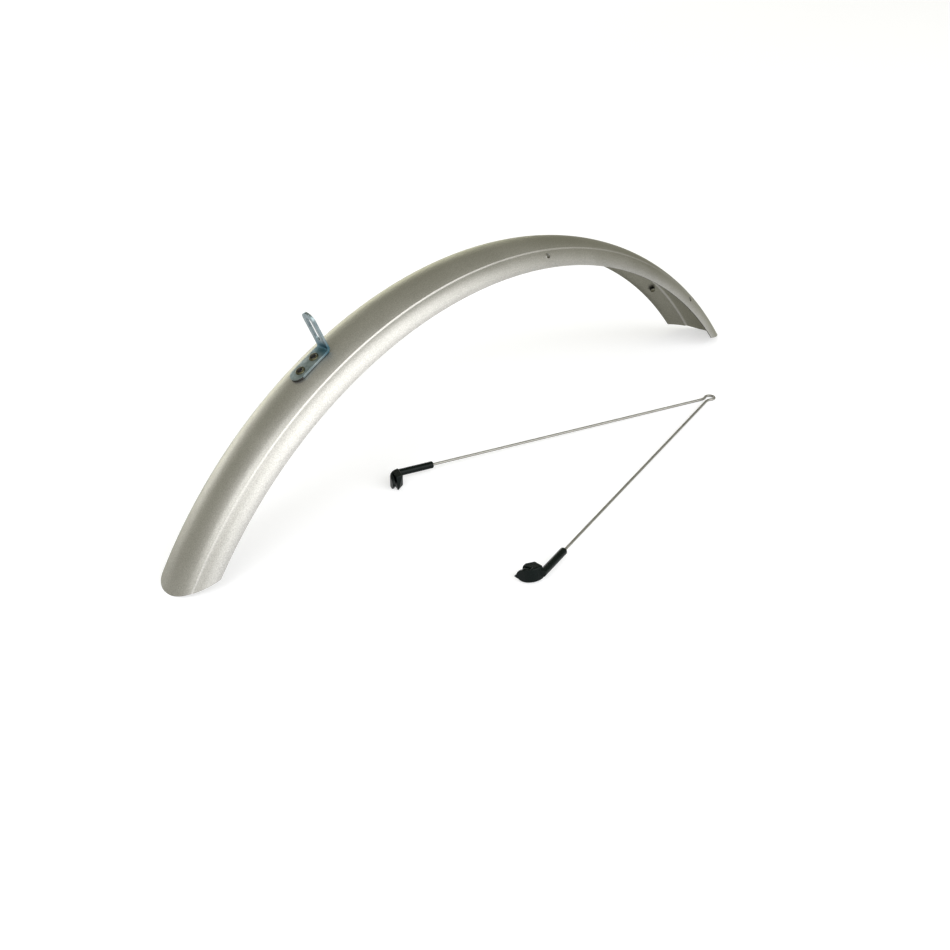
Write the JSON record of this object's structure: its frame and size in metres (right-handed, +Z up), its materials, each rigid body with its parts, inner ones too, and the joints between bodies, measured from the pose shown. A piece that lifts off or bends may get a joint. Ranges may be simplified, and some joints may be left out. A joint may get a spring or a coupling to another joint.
{
  "type": "bicycle mudguard",
  "caption": "Silver-grey bicycle front mudguard with a riveted fork bracket, with its V-shaped wire stay and black plastic end clips laid beside it.",
  "frame": {"origin": "on the floor, in the middle of the ground that the mudguard and its stay cover", "axes": "+X along the arch, away from the fork bracket; +Y along the wheel axle, from the stay to the arch; +Z up"},
  "size_m": [0.611, 0.2108, 0.1644],
  "materials": {
    "blade_paint": "satin",
    "bracket_zinc": "satin",
    "rivet_brass": "satin",
    "stay_steel": "satin",
    "clip_plastic": "satin"
  },
  "bodies": {
    "root": {"mudguard_blade": "blade_paint", "fork_bracket": "bracket_zinc", "bracket_rivets": "rivet_brass", "stay_wire": "stay_steel", "stay_clip_inner": "clip_plastic", "stay_clip_outer": "clip_plastic"}
  },
  "joints": []
}
